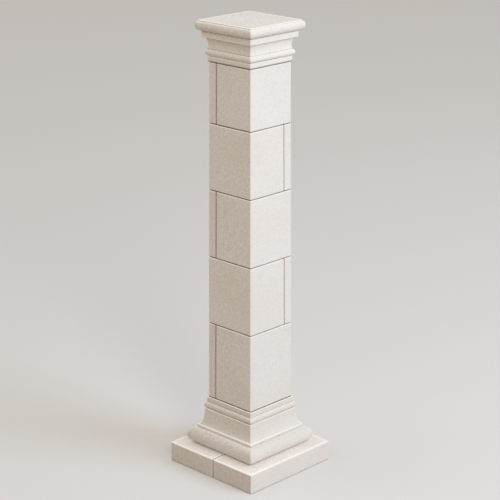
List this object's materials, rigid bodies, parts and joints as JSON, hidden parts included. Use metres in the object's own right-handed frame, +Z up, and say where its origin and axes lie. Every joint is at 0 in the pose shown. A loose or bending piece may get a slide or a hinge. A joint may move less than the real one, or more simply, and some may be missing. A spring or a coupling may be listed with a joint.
{
  "type": "square stone column",
  "caption": "Square stone column of hollow L-shaped courses between a moulded base on a split plinth and a moulded, round-edged capital; stands on its underside.",
  "frame": {"origin": "on the ground, under the middle of the column", "axes": "+Z up the column, X and Y square to its faces; the plinth's joint shows on the -Y and +Y faces"},
  "size_m": [0.587, 0.587, 2.327],
  "materials": {
    "cast_stone": "fine rubbed off-white stone, matt, faintly mottled"
  },
  "bodies": {
    "root": {"plinth_left": "cast_stone", "plinth_right": "cast_stone", "base": "cast_stone", "course_1_front": "cast_stone", "course_1_back": "cast_stone", "course_2_front": "cast_stone", "course_2_back": "cast_stone", "course_3_front": "cast_stone", "course_3_back": "cast_stone", "course_4_front": "cast_stone", "course_4_back": "cast_stone", "course_5_front": "cast_stone", "course_5_back": "cast_stone", "capital": "cast_stone"}
  },
  "joints": []
}
